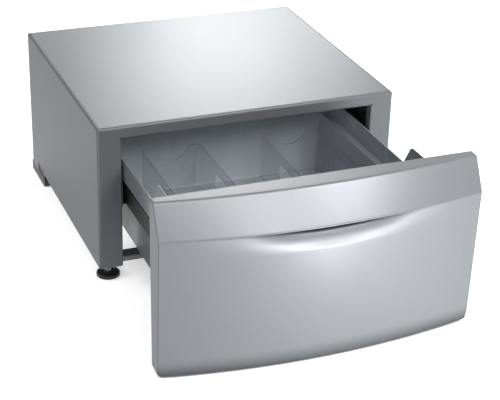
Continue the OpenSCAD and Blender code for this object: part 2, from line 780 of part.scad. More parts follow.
// One slide member from y0 to y1: the section given as a child, with its fixing holes
// through a web that lies at x
module member(x, y0, y1, holes) {
    difference() {
        translate([0, 0, slide_z]) along_y(y0, y1) children();
        for (y = holes) translate([x, y, slide_z]) rotate([0, 90, 0])
            cylinder(d = hole_d, h = 2 * slide_t, center = true);
    }
}

module slide_outer() {
    color([0.13, 0.13, 0.14]) in_cabinet() {
        member(web_x - slide_t / 2, slide_set, member_back, rivet_y()) difference() {
            union() {
                translate([web_x, 0]) channel(slide_w - flange_gap, slide_h, slide_t, member_r);
                race_seat(row_outer_x, row_outer_z, 1);
            }
            race_groove(row_outer_x, row_outer_z);
        }
        // the end stop, across the path of the middle member
        stop_x = middle_x - 2 * slide_t;
        translate([stop_x, member_back - stop_l, slide_z - stop_h / 2])
            cube([web_x - slide_t + eps - stop_x, stop_l, stop_h]);
    }
}

module slide_outer_left() { left() slide_outer(); }
module slide_outer_right() { slide_outer(); }

module slide_middle() {
    shift = rest_travel / 2;
    color([0.13, 0.13, 0.14]) in_cabinet() translate([0, -shift, 0])
        member(middle_x, slide_set, member_back - middle_short, []) difference() {
            union() {
                translate([middle_x, 0]) channel(middle_x - wall_x - flange_gap, middle_h, slide_t, member_r);
                race_seat(row_outer_x, row_outer_z, -1);
                race_seat(row_inner_x, row_inner_z, 1);
            }
            race_groove(row_outer_x, row_outer_z);
            race_groove(row_inner_x, row_inner_z);
        }
}

module slide_middle_left() { left() slide_middle(); }
module slide_middle_right() { slide_middle(); }

module slide_inner() {
    holes = [for (y = slide_screw_y()) y - shut_gap];
    color([0.16, 0.16, 0.17]) in_cabinet() translate([0, -rest_travel, 0])
        member(wall_x + slide_t / 2, slide_set - inner_lead, member_back - inner_short, holes) difference() {
            union() {
                translate([wall_x, 0]) mirror([1, 0]) channel(inner_depth, inner_h, slide_t, member_r);
                race_seat(row_inner_x, row_inner_z, -1);
            }
            race_groove(row_inner_x, row_inner_z);
        }
}

module slide_inner_left() { left() slide_inner(); }
module slide_inner_right() { slide_inner(); }

// A ball cage: a thin channel with balls in pockets of both its flanges
module ball_cage(x, depth, height, ball_x) {
    step = cage_l / ball_n;
    difference() {
        along_y(0, cage_l) translate([x, slide_z]) channel(depth, height, cage_t, 1.2);
        for (i = [0:ball_n - 1]) translate([ball_x, (i + 0.5) * step, slide_z])
            cylinder(d = ball_d + ball_gap, h = height + 2, center = true);
        // a slot along the web
        translate([x - cage_t / 2, cage_l / 2, slide_z])
            cube([2 * cage_t, cage_l - 2 * step, height / 2], center = true);
    }
    for (i = [0:ball_n - 1], s = [-1, 1])
        translate([ball_x, (i + 0.5) * step, slide_z + s * (height - cage_t) / 2]) sphere(d = ball_d);
}

module outer_ball_cage() {
    x = web_x - slide_t - cage_gap;
    depth = x - wall_x - cage_set;
    color("goldenrod") in_cabinet() translate([0, cage_y - rest_travel / 4, 0])
        ball_cage(x, depth, cage_outer_h, row_outer_x);
}

module inner_ball_cage() {
    x = middle_x - slide_t - cage_gap;
    depth = x - wall_x - cage_set;
    color("goldenrod") in_cabinet() translate([0, cage_y - rest_travel * 3 / 4, 0])
        ball_cage(x, depth, cage_inner_h, row_inner_x);
}

module outer_ball_cage_left() { left() outer_ball_cage(); }
module outer_ball_cage_right() { outer_ball_cage(); }
module inner_ball_cage_left() { left() inner_ball_cage(); }
module inner_ball_cage_right() { inner_ball_cage(); }

// ---- fasteners

module slide_screws() {
    color("gray") in_drawer() for (s = [0, 1], y = slide_screw_y()) mirror([s, 0, 0])
        translate([wall_x + slide_t, y, slide_z]) rotate([0, -90, 0]) screw(screw_d, tub_t + slide_t);
}

module slide_rivets() {
    color("gray") in_cabinet() for (s = [0, 1], y = rivet_y()) mirror([s, 0, 0])
        translate([web_x - slide_t, y, slide_z]) rotate([0, 90, 0]) {
            cylinder(d = rivet_d, h = slide_t + frame_t + eps);
            translate([0, 0, slide_t + frame_t])
                cylinder(d1 = 2 * rivet_d, d2 = 1.2 * rivet_d, h = rivet_d / 2);
        }
}

// Where the slide brackets are fastened, given as [y, z]
function bracket_nut_places() = let (drop = slide_h / 2 + bracket_rise + bracket_lip / 2 + slack)
    [for (y = [slide_set + bolt_inset, member_back - bolt_inset], s = [-1, 1]) [y, slide_z + s * drop]];

// Hexagon nuts on studs welded to the insides of the side panels
module bracket_nuts() {
    color("gray") in_cabinet() for (s = [0, 1], at = bracket_nut_places()) mirror([s, 0, 0])
        translate([inner_x - frame_t, at[0], at[1]]) rotate([0, -90, 0]) hexagon_head(frame_t);
}

function rear_screw_x() = half_w - rear_lip / 2;
function rear_screw_heights() = let (step = (rear_screw_high - rear_screw_low) / 3)
    [for (i = [0:3]) rear_screw_low + i * step];

module rear_panel_screws() {
    color("gray") in_cabinet() for (s = [-1, 1], z = rear_screw_heights())
        translate([s * rear_screw_x(), cab_d, z]) rotate([-90, 0, 0]) hexagon_head(2 * sheet_t + slack);
}

// A hexagon head with its washer face at the origin, and a shank down to -reach
module hexagon_head(reach) {
    cylinder(d = washer_d, h = washer_t);
    linear_extrude(bolt_h) hexagon(bolt_af);
    translate([0, 0, -reach]) cylinder(d = screw_d, h = reach + eps);
}

// ---- dividers

// The wave cut from the top of a divider's back wall: a round dip between two round shoulders
module wave_cut() {
    lift = wave_r - wave_dip;
    reach = sqrt(pow(wave_r + shoulder_r, 2) - pow(lift + shoulder_r, 2));
    circle_y = divider_h + lift;
    translate([0, circle_y]) circle(wave_r);
    difference() {
        polygon([[-reach, divider_h - shoulder_r], [0, circle_y], [reach, divider_h - shoulder_r],
                 [reach, circle_y + 1], [-reach, circle_y + 1]]);
        for (s = [-1, 1]) translate([s * reach, divider_h - shoulder_r]) circle(shoulder_r);
    }
}

module divider_plan(inset) {
    x = divider_w / 2 - inset;
    rounded([[-x, -divider_l - inset], [x, -divider_l - inset], [x, -inset], [-x, -inset]],
            [0, 0, divider_r - inset, divider_r - inset]);
}

// A divider: two side walls with hand holes, joined by a back wall with a wave
module divider(x) {
    floor_z = tub_z + tub_t + rest_gap;
    color([0.75, 0.78, 0.85, 0.5]) in_drawer() translate([x, divider_back, floor_z]) difference() {
        linear_extrude(divider_h) difference() {
            divider_plan(0);
            divider_plan(divider_t);
        }
        along_y(-divider_r - divider_t, 1) wave_cut();
        along_x(-divider_w, divider_w) translate([-grip_y, divider_h - grip_drop - grip_h / 2]) {
            square([grip_l - grip_h, grip_h], center = true);
            for (s = [-1, 1]) translate([s * (grip_l - grip_h) / 2, 0]) circle(d = grip_h);
        }
    }
}

module divider_left() { divider(divider_left_x); }
module divider_right() { divider(divider_right_x); }

left_side_panel();
right_side_panel();
front_top_rail();
top_panel();
rear_panel();
front_bottom_rail();
rear_bottom_rail();
deck_shelf_left();
deck_shelf_right();
deck_beam_front();
deck_beam_middle();
deck_beam_rear();
slide_bracket_left();
slide_bracket_right();
slide_outer_left();
slide_outer_right();
foot_bracket_left();
foot_bracket_right();
foot_weld_nuts();
foot_lock_nuts();
rear_foot_left();
rear_foot_right();
bracket_nuts();
slide_rivets();
rear_panel_screws();
drawer_tub();
drawer_front();
front_backing_plate();
ear_bracket_left();
ear_bracket_right();
slide_inner_left();
slide_inner_right();
slide_screws();
front_screws();
front_bumpers();
slide_middle_left();
slide_middle_right();
outer_ball_cage_left();
outer_ball_cage_right();
inner_ball_cage_left();
inner_ball_cage_right();
levelling_stud_left();
levelling_stud_right();
foot_pad_left();
foot_pad_right();
divider_left();
divider_right();
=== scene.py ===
import json
import math

import bpy
import numpy as np
from mathutils import Matrix, Vector


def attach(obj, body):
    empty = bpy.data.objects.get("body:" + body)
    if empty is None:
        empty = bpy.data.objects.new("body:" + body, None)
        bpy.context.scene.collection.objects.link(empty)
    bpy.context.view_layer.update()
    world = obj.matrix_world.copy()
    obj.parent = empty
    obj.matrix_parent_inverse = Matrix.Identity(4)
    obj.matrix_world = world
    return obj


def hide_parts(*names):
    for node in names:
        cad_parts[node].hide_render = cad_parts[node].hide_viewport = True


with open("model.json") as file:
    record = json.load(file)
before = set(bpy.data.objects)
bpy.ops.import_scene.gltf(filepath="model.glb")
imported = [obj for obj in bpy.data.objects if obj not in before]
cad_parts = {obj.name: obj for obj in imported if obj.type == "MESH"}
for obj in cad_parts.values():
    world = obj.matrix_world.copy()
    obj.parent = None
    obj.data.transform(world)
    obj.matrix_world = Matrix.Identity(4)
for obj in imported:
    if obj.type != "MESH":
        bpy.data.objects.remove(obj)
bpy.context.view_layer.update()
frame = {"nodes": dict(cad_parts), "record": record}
nodes = frame["nodes"]
print("frame loaded:", len(nodes), "nodes")

mm = 0.001
fineBump, grainBump = 0.0001, 0.0002                             # bump heights, in metres
shadeSamples, bevelSamples = 8, 6
driftScale, specScale = 9.0, 900.0                               # noise features to the metre
floatKind, vectorKind = "NodeSocketFloat", "NodeSocketVector"


# Adds a node, and sets its properties, or its inputs where a name is one of them
def addNode(tree, kind, at=(0, 0), **values):
    n = tree.nodes.new(kind)
    n.location = at
    for key, value in values.items():
        if hasattr(n, key):
            setattr(n, key, value)
        else:
            n.inputs[key.replace("_", " ")].default_value = value
    return n


# A maths node whose inputs are sockets or plain numbers
def mathNode(tree, operation, a, b, at=(0, 0), clamp=False):
    n = addNode(tree, "ShaderNodeMath", at, operation=operation, use_clamp=clamp)
    for i, x in enumerate((a, b)):
        if isinstance(x, bpy.types.NodeSocket):
            tree.links.new(x, n.inputs[i])
        elif x is not None:
            n.inputs[i].default_value = x
    return n.outputs[0]


# A shader node group. inputs holds (name, kind, value) and outputs (name, kind)
def newGroup(name, inputs, outputs):
    g = bpy.data.node_groups.new(name, "ShaderNodeTree")
    for label, kind, value in inputs:
        s = g.interface.new_socket(name=label, in_out="INPUT", socket_type=kind)
        if value is not None:
            s.default_value = value
    for label, kind in outputs:
        g.interface.new_socket(name=label, in_out="OUTPUT", socket_type=kind)
    return g, addNode(g, "NodeGroupInput", (-900, 0)), addNode(g, "NodeGroupOutput", (700, 0))


# Places a group in a material, with its values
def useGroup(tree, group, at, vector=None, **values):
    n = addNode(tree, "ShaderNodeGroup", at)
    n.node_tree = group
    for key, value in values.items():
        n.inputs[key.replace("_", " ")].default_value = value
    if vector is not None:
        tree.links.new(vector, n.inputs["Vector"])
    return n


# Noise over a vector that is divided by a size in metres
def sizedNoise(g, vector, size, at, **values):
    scale = mathNode(g, "DIVIDE", 1.0, size, (at[0] - 200, at[1]))
    noise = addNode(g, "ShaderNodeTexNoise", at, **values)
    g.links.new(vector, noise.inputs["Vector"])
    g.links.new(scale, noise.inputs["Scale"])
    return noise.outputs[0]


# Cells whose size is in metres, each with its own random colour, split into three channels
def cellChannels(g, vector, size, at):
    scale = mathNode(g, "DIVIDE", 1.0, size, (at[0] - 200, at[1]))
    cells = addNode(g, "ShaderNodeTexVoronoi", at)
    g.links.new(vector, cells.inputs["Vector"])
    g.links.new(scale, cells.inputs["Scale"])
    split = addNode(g, "ShaderNodeSeparateColor", (at[0] + 200, at[1]))
    g.links.new(cells.outputs["Color"], split.inputs[0])
    return split.outputs


# (value - 0.5) * amount
def swing(g, value, amount, at):
    return mathNode(g, "MULTIPLY", mathNode(g, "SUBTRACT", value, 0.5, at), amount, (at[0] + 180, at[1]))


# Rough Low + value * (Rough High - Rough Low)
def roughSpan(g, gi, value, at):
    low = gi.outputs["Rough Low"]
    span = mathNode(g, "SUBTRACT", gi.outputs["Rough High"], low, at)
    part = mathNode(g, "MULTIPLY", value, span, (at[0] + 180, at[1]))
    return mathNode(g, "ADD", part, low, (at[0] + 360, at[1]))


# Metallic paint: shade = 1 + a random swing for each flake cell + a soft cloud. Height is orange peel.
def makeFlake():
    g, gi, go = newGroup("metallicFlake", [
        ("Vector", vectorKind, None), ("Flake Size", floatKind, 0.0005), ("Contrast", floatKind, 0.08),
        ("Cloud Size", floatKind, 0.2), ("Cloud", floatKind, 0.02), ("Peel Size", floatKind, 0.0024)],
        [("Shade", floatKind), ("Height", floatKind)])
    channels = cellChannels(g, gi.outputs["Vector"], gi.outputs["Flake Size"], (-500, 200))
    flake = swing(g, channels[0], gi.outputs["Contrast"], (-120, 200))
    cloud = sizedNoise(g, gi.outputs["Vector"], gi.outputs["Cloud Size"], (-500, -100), Detail=3.0)
    drift = swing(g, cloud, gi.outputs["Cloud"], (-120, -100))
    total = mathNode(g, "ADD", mathNode(g, "ADD", flake, drift, (240, 100)), 1.0, (420, 100))
    peel = sizedNoise(g, gi.outputs["Vector"], gi.outputs["Peel Size"], (-500, -350), Detail=1.0)
    g.links.new(total, go.inputs["Shade"])
    g.links.new(peel, go.inputs["Height"])
    return g


# Moulded grain: fine rounded pits from two octaves of noise. Shade drifts slowly around 1.
def makeGrain():
    g, gi, go = newGroup("mouldedGrain", [
        ("Vector", vectorKind, None), ("Size", floatKind, 0.0012), ("Shade Range", floatKind, 0.1),
        ("Rough Low", floatKind, 0.3), ("Rough High", floatKind, 0.4)],
        [("Shade", floatKind), ("Roughness", floatKind), ("Height", floatKind)])
    pits = sizedNoise(g, gi.outputs["Vector"], gi.outputs["Size"], (-500, 100), Detail=2.0, Roughness=0.6)
    wide = addNode(g, "ShaderNodeTexNoise", (-500, -150), Scale=driftScale, Detail=4.0)
    g.links.new(gi.outputs["Vector"], wide.inputs["Vector"])
    spread = swing(g, wide.outputs[0], gi.outputs["Shade Range"], (-300, -150))
    g.links.new(mathNode(g, "ADD", spread, 1.0, (60, -150)), go.inputs["Shade"])
    g.links.new(roughSpan(g, gi, wide.outputs[0], (-300, -350)), go.inputs["Roughness"])
    g.links.new(pits, go.inputs["Height"])
    return g


# Rolled or drawn metal: noise of the vector times Stretch, so its streaks run along the small axis
def makeRolled():
    g, gi, go = newGroup("rolledLines", [
        ("Vector", vectorKind, None), ("Stretch", vectorKind, (900.0, 12.0, 900.0)),
        ("Shade Range", floatKind, 0.2), ("Rough Low", floatKind, 0.25), ("Rough High", floatKind, 0.45)],
        [("Shade", floatKind), ("Roughness", floatKind), ("Height", floatKind)])
    scaled = addNode(g, "ShaderNodeVectorMath", (-700, 100), operation="MULTIPLY")
    g.links.new(gi.outputs["Vector"], scaled.inputs[0])
    g.links.new(gi.outputs["Stretch"], scaled.inputs[1])
    noise = addNode(g, "ShaderNodeTexNoise", (-500, 100), Scale=1.0, Detail=4.0, Roughness=0.65)
    g.links.new(scaled.outputs[0], noise.inputs["Vector"])
    off = swing(g, noise.outputs[0], gi.outputs["Shade Range"], (-300, 200))
    g.links.new(mathNode(g, "ADD", off, 1.0, (60, 200)), go.inputs["Shade"])
    g.links.new(roughSpan(g, gi, noise.outputs[0], (-300, -100)), go.inputs["Roughness"])
    g.links.new(noise.outputs[0], go.inputs["Height"])
    return g


# Zinc coating: large crystal cells, each of its own shade and gloss, over fine noise
def makeSpangle():
    g, gi, go = newGroup("zincSpangle", [
        ("Vector", vectorKind, None), ("Crystal Size", floatKind, 0.006), ("Contrast", floatKind, 0.12),
        ("Rough Low", floatKind, 0.36), ("Rough Range", floatKind, 0.15)],
        [("Shade", floatKind), ("Roughness", floatKind), ("Height", floatKind)])
    channels = cellChannels(g, gi.outputs["Vector"], gi.outputs["Crystal Size"], (-500, 100))
    off = swing(g, channels[1], gi.outputs["Contrast"], (-120, 100))
    g.links.new(mathNode(g, "ADD", off, 1.0, (240, 100)), go.inputs["Shade"])
    gloss = mathNode(g, "MULTIPLY", channels[2], gi.outputs["Rough Range"], (-120, -100))
    g.links.new(mathNode(g, "ADD", gloss, gi.outputs["Rough Low"], (60, -100)), go.inputs["Roughness"])
    fine = addNode(g, "ShaderNodeTexNoise", (-500, -250), Scale=specScale, Detail=2.0)
    g.links.new(gi.outputs["Vector"], fine.inputs["Vector"])
    g.links.new(fine.outputs[0], go.inputs["Height"])
    return g


# Painted edge highlight mask: how far the Bevel node's rounded normal leaves the face's own normal, times
# Gain.
# Normal is that rounded normal.
def makeEdge():
    g, gi, go = newGroup("roundEdge", [("Radius", floatKind, 0.001), ("Gain", floatKind, 3.0)],
                         [("Edge Highlight", floatKind), ("Normal", vectorKind)])
    bevel = addNode(g, "ShaderNodeBevel", (-500, 100), samples=bevelSamples)
    g.links.new(gi.outputs["Radius"], bevel.inputs["Radius"])
    geo = addNode(g, "ShaderNodeNewGeometry", (-500, -100))
    dot = addNode(g, "ShaderNodeVectorMath", (-300, 0), operation="DOT_PRODUCT")
    g.links.new(bevel.outputs[0], dot.inputs[0])
    g.links.new(geo.outputs["Normal"], dot.inputs[1])
    turn = mathNode(g, "SUBTRACT", 1.0, dot.outputs["Value"], (-100, 0))
    g.links.new(mathNode(g, "MULTIPLY", turn, gi.outputs["Gain"], (80, 0), clamp=True), go.inputs["Edge Highlight"])
    g.links.new(bevel.outputs[0], go.inputs["Normal"])
    return g


# Faces that look up: 0 below the Low slope of the normal, 1 above the High one
def makeUpward():
    g, gi, go = newGroup("upwardFaces", [("Low", floatKind, 0.5), ("High", floatKind, 0.9)],
                         [("Mask", floatKind)])
    geo = addNode(g, "ShaderNodeNewGeometry", (-500, 0))
    split = addNode(g, "ShaderNodeSeparateXYZ", (-300, 0))
    g.links.new(geo.outputs["Normal"], split.inputs[0])
    ramp = addNode(g, "ShaderNodeMapRange", (-100, 0), interpolation_type="SMOOTHSTEP")
    g.links.new(split.outputs[2], ramp.inputs["Value"])
    g.links.new(gi.outputs["Low"], ramp.inputs["From Min"])
    g.links.new(gi.outputs["High"], ramp.inputs["From Max"])
    g.links.new(ramp.outputs[0], go.inputs["Mask"])
    return g


effects = {"flake": makeFlake(), "grain": makeGrain(), "rolled": makeRolled(), "spangle": makeSpangle(),
           "edge": makeEdge(), "upward": makeUpward()}
print("shared effects made:", len(effects))


# A new material with plain values on its shader, and its Object coordinates
def startMaterial(name, color, roughness, metallic=0.0, **sockets):
    m = bpy.data.materials.new(name)
    m.use_nodes = True
    t = m.node_tree
    b = t.nodes["Principled BSDF"]
    b.inputs["Base Color"].default_value = (*color, 1.0)
    b.inputs["Roughness"].default_value = roughness
    b.inputs["Metallic"].default_value = metallic
    for key, value in sockets.items():
        b.inputs[key.replace("_", " ")].default_value = value
    place = addNode(t, "ShaderNodeTexCoord", (-1300, 0)).outputs["Object"]
    return m, t, b, place


# A colour mixed from a to b (each a colour or a socket) by a mask
def mixColor(t, mask, a, b, at):
    mix = addNode(t, "ShaderNodeMix", at, data_type="RGBA")
    t.links.new(mask, mix.inputs[0])
    for socket, value in ((mix.inputs[6], a), (mix.inputs[7], b)):
        if isinstance(value, bpy.types.NodeSocket):
            t.links.new(value, socket)
        else:
            socket.default_value = (*value, 1.0)
    return mix.outputs[2]


# Base colour = colour * shade, mixed towards the edge colour by the painted edge highlight mask
def shadeColor(t, b, p, shade, edgeHighlight):
    scale = addNode(t, "ShaderNodeVectorMath", (-500, 200), operation="SCALE")
    scale.inputs[0].default_value = p["color"]
    t.links.new(shade, scale.inputs["Scale"])
    t.links.new(mixColor(t, edgeHighlight, scale.outputs[0], p["paintedEdgeColor"], (-300, 200)), b.inputs["Base Color"])


# A bump from a height, over a rounded normal
def addBump(t, b, height, strength, distance, normal):
    bump = addNode(t, "ShaderNodeBump", (-300, -300), Strength=strength, Distance=distance)
    t.links.new(height, bump.inputs["Height"])
    t.links.new(normal, bump.inputs["Normal"])
    t.links.new(bump.outputs[0], b.inputs["Normal"])


# The rounded edge of a finish, and the mask of its painted edge highlight
def addEdge(t, p):
    return useGroup(t, effects["edge"], (-900, -300), Radius=p["edge"], Gain=p["edgeHighlight"])


# Metallic paint, with painted shade: its base colour falls towards a darker level in tight hollows, read
# from ambient occlusion, standing in for the shadow there.
def metallicPaint(name, p):
    m, t, b, place = startMaterial(name, p["color"], p["roughness"], p["metallic"],
                                   Specular_IOR_Level=p["specular"])
    flake = useGroup(t, effects["flake"], (-900, 100), place, Flake_Size=p["flake"], Contrast=p["contrast"],
                     Cloud=p["cloud"])
    edge = addEdge(t, p)
    # painted shade: the base colour darkens where ambient occlusion finds a tight hollow
    hollow = addNode(t, "ShaderNodeAmbientOcclusion", (-900, 400), samples=shadeSamples,
                     Distance=p["paintedShadeReach"])
    paintedShade = addNode(t, "ShaderNodeMapRange", (-700, 400), From_Min=p["paintedShadeRange"][0],
                   From_Max=p["paintedShadeRange"][1], To_Min=p["paintedShadeLevel"])
    t.links.new(hollow.outputs["AO"], paintedShade.inputs["Value"])
    shade = mathNode(t, "MULTIPLY", flake.outputs["Shade"], paintedShade.outputs[0], (-700, 200))
    shadeColor(t, b, p, shade, edge.outputs["Edge Highlight"])
    addBump(t, b, flake.outputs["Height"], p["peel"], fineBump, edge.outputs["Normal"])
    return m


# A finish whose shade, roughness and height all come from one shared effect, with its values
def texturedFinish(name, p, effect, height, **values):
    m, t, b, place = startMaterial(name, p["color"], p["rough"][0], p["metallic"],
                                   Specular_IOR_Level=p["specular"])
    texture = useGroup(t, effects[effect], (-900, 100), place, **values)
    edge = addEdge(t, p)
    shadeColor(t, b, p, texture.outputs["Shade"], edge.outputs["Edge Highlight"])
    t.links.new(texture.outputs["Roughness"], b.inputs["Roughness"])
    addBump(t, b, texture.outputs["Height"], p["bump"], height, edge.outputs["Normal"])
    return m


# Moulded plastic or rubber: pits of the grain size, roughness between its two rough values
def mouldedPlastic(name, p):
    return texturedFinish(name, {"metallic": 0.0, **p}, "grain", grainBump, Size=p["grain"],
                          Shade_Range=p["range"], Rough_Low=p["rough"][0], Rough_High=p["rough"][1])


# Zinc coated sheet: crystals, roughness = the first rough value + up to the second
def coatedSteel(name, p):
    return texturedFinish(name, {"specular": 0.5, **p}, "spangle", fineBump, Crystal_Size=p["crystal"],
                          Contrast=p["contrast"], Rough_Low=p["rough"][0], Rough_Range=p["rough"][1])


# Rolled, drawn or turned metal: streaks, roughness between its two rough values
def drawnMetal(name, p):
    return texturedFinish(name, {"specular": 0.5, **p}, "rolled", fineBump, Stretch=p["stretch"],
                          Shade_Range=p["range"], Rough_Low=p["rough"][0], Rough_High=p["rough"][1])


# Clear moulded plastic. Alpha = wall + slant * Fresnel + edge * the painted edge highlight mask + rim *
# upward, so that a wall is nearly clear face on and thicker at a slant, its edges carry a painted
# highlight, and its rims show a painted tint of the light that comes along it.
def clearPlastic(name, p):
    m, t, b, place = startMaterial(name, p["color"], p["rough"][0], 0.0, Specular_IOR_Level=p["specular"])
    grain = useGroup(t, effects["grain"], (-900, 100), place, Size=p["grain"], Shade_Range=0.0,
                     Rough_Low=p["rough"][0], Rough_High=p["rough"][1])
    edge = addEdge(t, p)
    rim = useGroup(t, effects["upward"], (-900, -500), Low=p["rimSlope"][0],
                   High=p["rimSlope"][1]).outputs["Mask"]
    t.links.new(mixColor(t, rim, p["color"], p["rimColor"], (-300, 200)), b.inputs["Base Color"])
    slant = addNode(t, "ShaderNodeFresnel", (-700, 400), IOR=p["ior"])
    parts = [mathNode(t, "MULTIPLY", slant.outputs[0], p["slantAlpha"], (-500, 400)),
             mathNode(t, "MULTIPLY", edge.outputs["Edge Highlight"], p["edgeAlpha"], (-500, -500)),
             mathNode(t, "MULTIPLY", rim, p["rimAlpha"], (-500, -650))]
    alpha = p["wallAlpha"]
    for part in parts:
        alpha = mathNode(t, "ADD", part, alpha, (-100, 300), clamp=True)
    t.links.new(alpha, b.inputs["Alpha"])
    t.links.new(grain.outputs["Roughness"], b.inputs["Roughness"])
    addBump(t, b, grain.outputs["Height"], p["bump"], fineBump, edge.outputs["Normal"])
    return m


# Sizes are in metres. rough holds two roughness values, and edge the radius that the painted edge highlight
# is read from.
# In the paints, the hollow values set the painted shade in tight hollows, and each edge colour is a painted
# edge highlight.
finishRows = {
    "silverPaint": (metallicPaint, {
        "color": (0.235, 0.247, 0.264), "roughness": 0.42, "metallic": 0.3, "specular": 0.25,
        "flake": 0.0006, "contrast": 0.10, "cloud": 0.03, "peel": 0.05,
        "paintedShadeReach": 0.02, "paintedShadeRange": (0.2, 0.5), "paintedShadeLevel": 0.8,
        "edge": 0.0008, "edgeHighlight": 1.2, "paintedEdgeColor": (0.42, 0.43, 0.45)}),
    "frontPaint": (metallicPaint, {
        "color": (0.27, 0.282, 0.30), "roughness": 0.34, "metallic": 0.34, "specular": 0.25,
        "flake": 0.0006, "contrast": 0.10, "cloud": 0.03, "peel": 0.04,
        "paintedShadeReach": 0.06, "paintedShadeRange": (0.45, 0.88), "paintedShadeLevel": 0.25,
        "edge": 0.0006, "edgeHighlight": 1.0, "paintedEdgeColor": (0.42, 0.43, 0.45)}),
    "earPaint": (metallicPaint, {
        "color": (0.48, 0.495, 0.52), "roughness": 0.45, "metallic": 0.1, "specular": 0.5,
        "flake": 0.0008, "contrast": 0.05, "cloud": 0.03, "peel": 0.08,
        "paintedShadeReach": 0.02, "paintedShadeRange": (0.2, 0.5), "paintedShadeLevel": 0.8,
        "edge": 0.0005, "edgeHighlight": 1.0, "paintedEdgeColor": (0.6, 0.6, 0.62)}),
    "rearSheet": (coatedSteel, {
        "color": (0.42, 0.43, 0.44), "metallic": 0.75, "crystal": 0.007, "contrast": 0.14, "bump": 0.15,
        "rough": (0.36, 0.15), "edge": 0.0004, "edgeHighlight": 1.0, "paintedEdgeColor": (0.6, 0.6, 0.6)}),
    "frameSteel": (coatedSteel, {
        "color": (0.20, 0.205, 0.21), "metallic": 0.6, "crystal": 0.006, "contrast": 0.16, "bump": 0.15,
        "rough": (0.38, 0.15), "edge": 0.0005, "edgeHighlight": 1.0, "paintedEdgeColor": (0.4, 0.4, 0.4)}),
    "slideBlack": (drawnMetal, {
        "color": (0.006, 0.006, 0.0065), "metallic": 0.0, "stretch": (900.0, 14.0, 900.0), "range": 0.5,
        "rough": (0.4, 0.6), "bump": 0.1, "edge": 0.0003, "edgeHighlight": 1.5, "paintedEdgeColor": (0.12, 0.12, 0.12)}),
    "cageSteel": (drawnMetal, {
        "color": (0.55, 0.52, 0.46), "metallic": 1.0, "stretch": (700.0, 20.0, 700.0), "range": 0.3,
        "rough": (0.2, 0.42), "bump": 0.1, "edge": 0.0002, "edgeHighlight": 1.0, "paintedEdgeColor": (0.7, 0.68, 0.62)}),
    "zincPlate": (drawnMetal, {
        "color": (0.52, 0.53, 0.55), "metallic": 1.0, "stretch": (300.0, 300.0, 60.0), "range": 0.25,
        "rough": (0.24, 0.44), "bump": 0.12, "edge": 0.0003, "edgeHighlight": 1.0, "paintedEdgeColor": (0.7, 0.7, 0.7)}),
    "footBlack": (mouldedPlastic, {
        "color": (0.012, 0.012, 0.013), "rough": (0.36, 0.5), "specular": 0.5, "grain": 0.0011,
        "range": 0.3, "bump": 0.5, "edge": 0.0008, "edgeHighlight": 1.0, "paintedEdgeColor": (0.05, 0.05, 0.05)}),
    "tubPlastic": (mouldedPlastic, {
        "color": (0.54, 0.58, 0.615), "rough": (0.2, 0.34), "specular": 0.5, "grain": 0.0009, "range": 0.06,
        "bump": 0.12, "edge": 0.001, "edgeHighlight": 1.0, "paintedEdgeColor": (0.7, 0.73, 0.76)}),
    "bumperRubber": (mouldedPlastic, {
        "color": (0.03, 0.03, 0.03), "rough": (0.6, 0.8), "specular": 0.3, "grain": 0.0006, "range": 0.2,
        "bump": 0.4, "edge": 0.0006, "edgeHighlight": 1.0, "paintedEdgeColor": (0.08, 0.08, 0.08)}),
    "dividerClear": (clearPlastic, {
        "color": (0.62, 0.64, 0.70), "rimColor": (0.36, 0.36, 0.50), "rough": (0.05, 0.12), "specular": 0.8,
        "grain": 0.02, "bump": 0.02, "edge": 0.0007, "edgeHighlight": 3.0, "ior": 1.49,
        "wallAlpha": 0.025, "slantAlpha": 0.2, "edgeAlpha": 0.3, "rimAlpha": 0.5, "rimSlope": (0.3, 0.8)}),
}
finishes = {name: make(name, p) for name, (make, p) in finishRows.items()}

slotFinish = {
    "cabinet_paint": "silverPaint", "front_paint": "frontPaint", "ear_paint": "earPaint",
    "rear_sheet": "rearSheet", "frame_steel": "frameSteel", "slide_black": "slideBlack",
    "cage_steel": "cageSteel", "zinc": "zincPlate", "foot_black": "footBlack", "tub_plastic": "tubPlastic",
    "bumper_rubber": "bumperRubber", "clear_plastic": "dividerClear"}

# every node wears the finish of its slot in the record
for row in frame["record"]["subparts"]:
    material = finishes[slotFinish[row["material_slot"]]]
    node = nodes[row["node"]]
    if not node.material_slots:
        node.data.materials.append(material)
    for slot in node.material_slots:
        slot.material = material
print("finishes made:", len(finishes))


# The drawer front, in mm. rows counts the points of each stretch of its section, from the bottom up.
front = {
    "halfWidth": 343, "bottom": 4, "lower": 263, "crease": 310, "top": 376, "back": -444.46,
    "middle": {"top": 46.0, "crease": 92.7, "bottom": 78.0},     # thickness at the middle
    "ends": {"top": 19.0, "crease": 54.0, "bottom": 44.0},       # thickness at the ends
    "scoopDepth": 31, "scoopSpread": 108, "wingDepth": 3.9, "wingEnds": (200, 300), "rampShare": 0.3,
    "rampPower": (5, 2), "lip": 3, "leastDepth": 0.3,
    "topRound": 3.4, "bottomRound": 3, "creaseRound": 1.6, "lowerRound": 3, "endRound": 3.2,
    "rearRound": 0.9, "bandRound": 1.4, "rearShare": 0.4, "lipShare": 0.5,
    "creaseStep": (1.2, 0.4),                                    # how the crease leans back, and its rise
    "rows": {"bottom": 6, "bend": 8, "face": 14, "step": 2, "scoop": 26, "skip": 4, "rear": 4, "lip": 5,
             "crease": 5, "band": 12, "topBend": 9, "top": 6},
    "blend": {"top": (8, 0.5), "bottom": (0.5, 10), "band": (3, 4), "back": 12},
    "inset": {"band": 0.45, "ends": 1.2, "bandLess": 0.25, "skin": 0.06},
    "cornerRound": 12, "topCorner": 2, "rim": 3, "recess": 1.6, "columns": 150, "endColumns": 8,
    "sharpAngle": 34}


